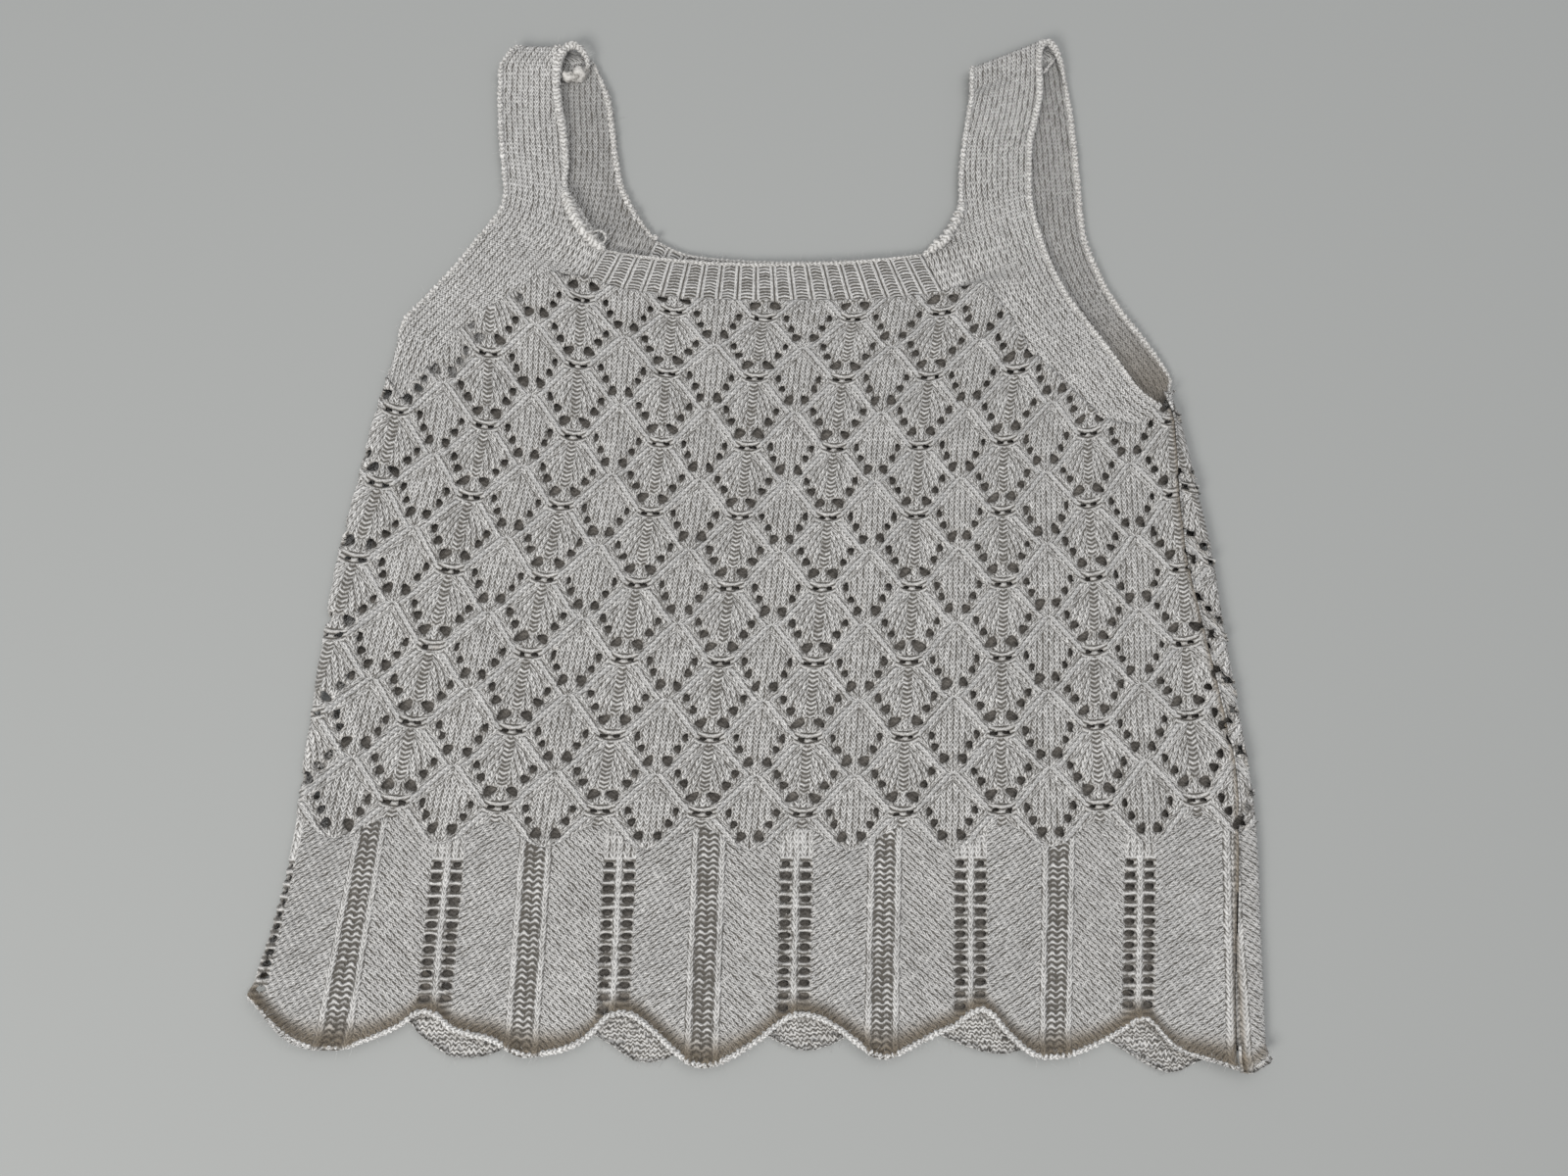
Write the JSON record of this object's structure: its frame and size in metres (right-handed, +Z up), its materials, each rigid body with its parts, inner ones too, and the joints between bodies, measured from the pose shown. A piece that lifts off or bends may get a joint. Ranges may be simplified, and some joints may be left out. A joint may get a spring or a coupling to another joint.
{
  "type": "knit top",
  "caption": "Sleeveless lace knit top with broad straps, ribbed neck and scalloped border, laid flat with its back under its front.",
  "frame": {"origin": "middle of the underside, on the surface that the top lies on, halfway between its extreme points in X and in Y", "axes": "+Y from the hem to the straps, +X to the right when the front is seen from above with the straps at the top, +Z up from the surface through the back and then the front"},
  "size_m": [0.44, 0.495, 0.0076],
  "materials": {
    "lace_yarn": "soft matt grey yarn, knitted in lace",
    "rib_yarn": "soft matt grey yarn, knitted in ribs",
    "plain_yarn": "soft matt grey yarn, knitted plain"
  },
  "bodies": {
    "root": {"front_panel": "lace_yarn", "back_panel": "lace_yarn", "front_neckband": "rib_yarn", "back_neckband": "rib_yarn", "strap_left_front": "plain_yarn", "strap_left_back": "plain_yarn", "strap_right_front": "plain_yarn", "strap_right_back": "plain_yarn"}
  },
  "joints": []
}
